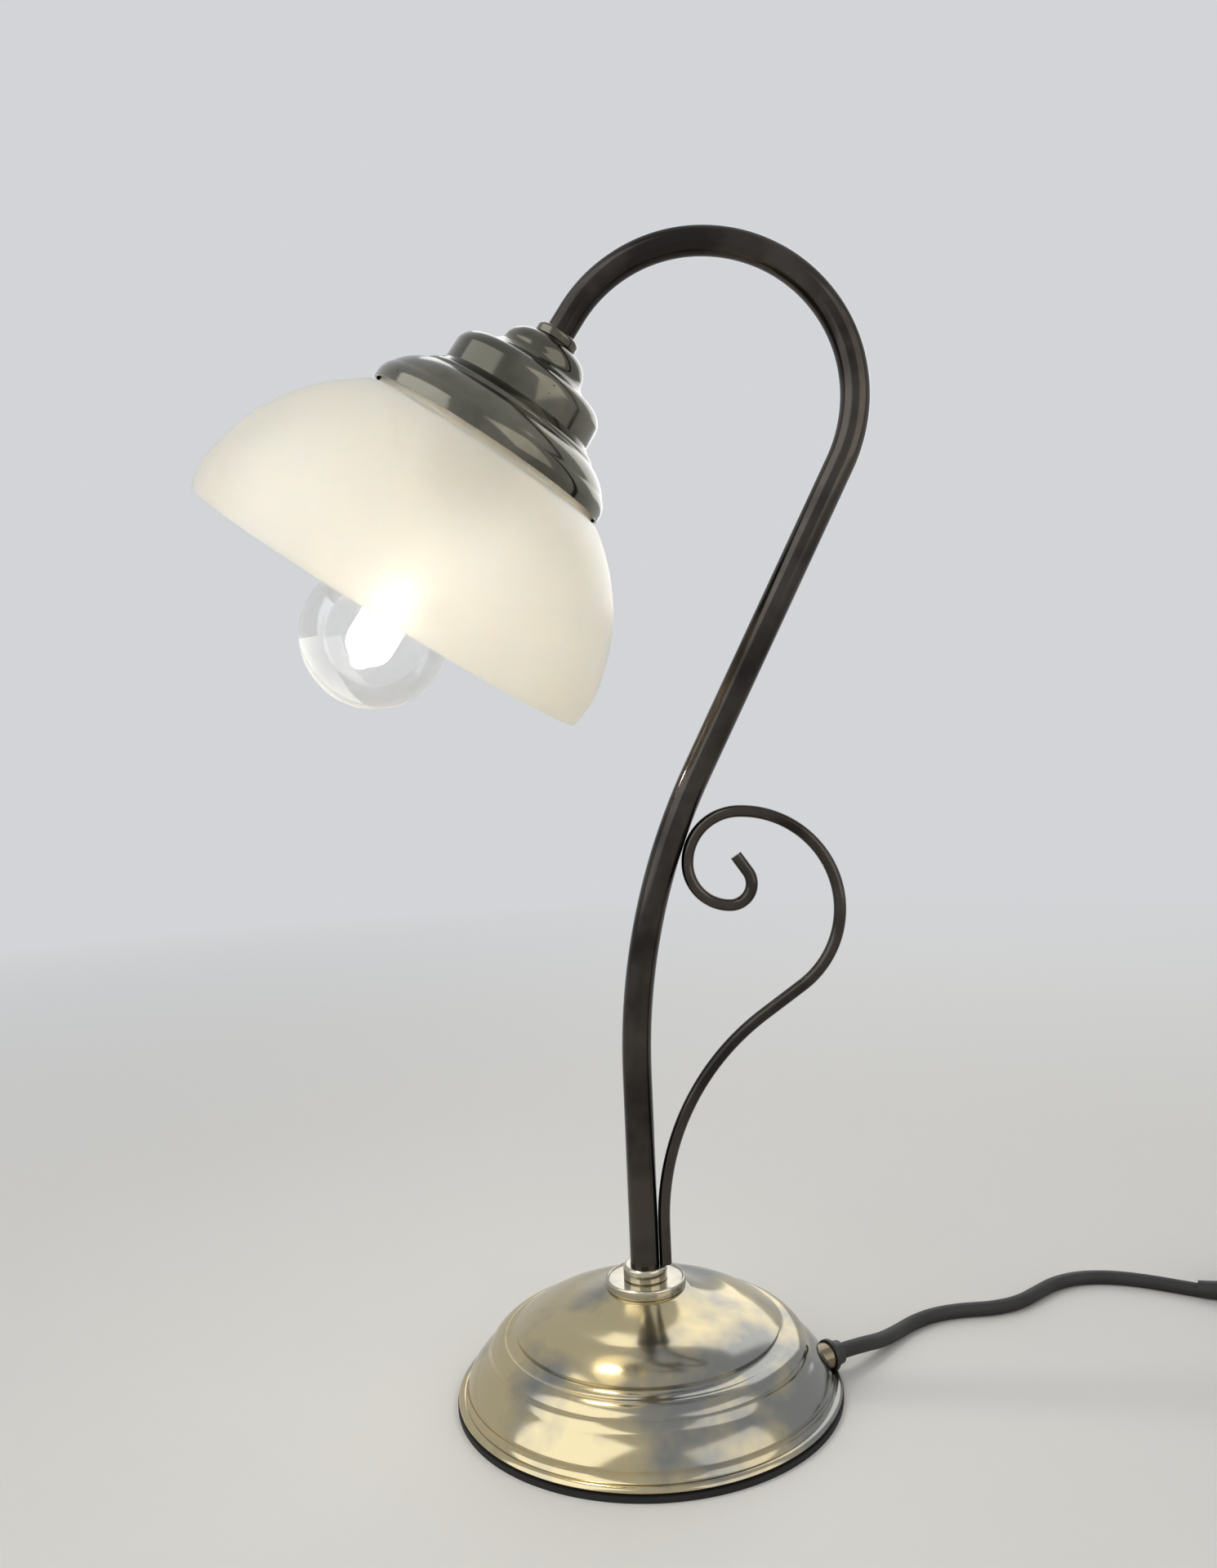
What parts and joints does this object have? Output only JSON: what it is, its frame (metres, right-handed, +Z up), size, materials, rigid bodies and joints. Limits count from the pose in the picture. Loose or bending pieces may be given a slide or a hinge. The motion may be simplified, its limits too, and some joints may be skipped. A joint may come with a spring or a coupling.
{
  "type": "desk lamp",
  "caption": "Desk lamp with a bent metal neck, a scroll brace, a stepped round base, a tilted opal glass shade, a clear bulb and a cord with switch and plug.",
  "frame": {"origin": "middle of the underside of the base, on the surface the lamp stands on", "axes": "+Z up; the neck, scroll and head axis lie in the plane Y = 0; the scroll is on the +X side and the head leans to -X"},
  "size_m": [0.6283, 0.1952, 0.4726],
  "materials": {
    "black_foot": "matt",
    "nickel_base": "aged nickel plate",
    "nickel_dark": "dark nickel plate",
    "nickel_cup": "polished nickel plate",
    "nickel_head": "aged nickel plate",
    "iron": "rough",
    "steel": "zinc plated",
    "opal": "satin opal",
    "clear": "clear",
    "bakelite": "moulded",
    "ceramic": "glazed",
    "brass": "bright",
    "cap_metal": "bright",
    "black_plastic": "moulded",
    "cord_black": "satin",
    "rocker_black": "moulded"
  },
  "bodies": {
    "lamp": {"base_foot": "black_foot", "base_shell": "nickel_base", "base_weight": "iron", "base_cup": "nickel_cup", "foot_collar": "nickel_cup", "base_washer": "steel", "base_nut": "steel", "neck_tube": "nickel_dark", "scroll_rod": "nickel_dark", "head_ferrule": "nickel_head", "head_nipple": "steel", "shade_holder": "nickel_head", "lampholder_cap": "bakelite", "lampholder_skirt": "bakelite", "lampholder_insert": "ceramic", "lampholder_contact": "brass", "bulb_cap": "cap_metal", "bulb_glass": "clear", "glass_shade": "opal", "shade_clips": "steel", "cord_bush": "black_plastic", "cord_lead": "cord_black", "switch_base": "black_plastic", "switch_cover": "black_plastic", "cord_link": "cord_black", "cord_coil": "cord_black", "cord_tail": "cord_black", "plug_body": "black_plastic", "plug_pins": "cap_metal"},
    "rocker": {"switch_rocker": "rocker_black"}
  },
  "joints": [
    {"name": "rocker_tilt", "type": "hinge", "parent": "lamp", "child": "rocker", "pos_m": [0.299, 0.0836, 0.017], "axis": [0, 1, 0], "range_deg": [0, 14]}
  ]
}
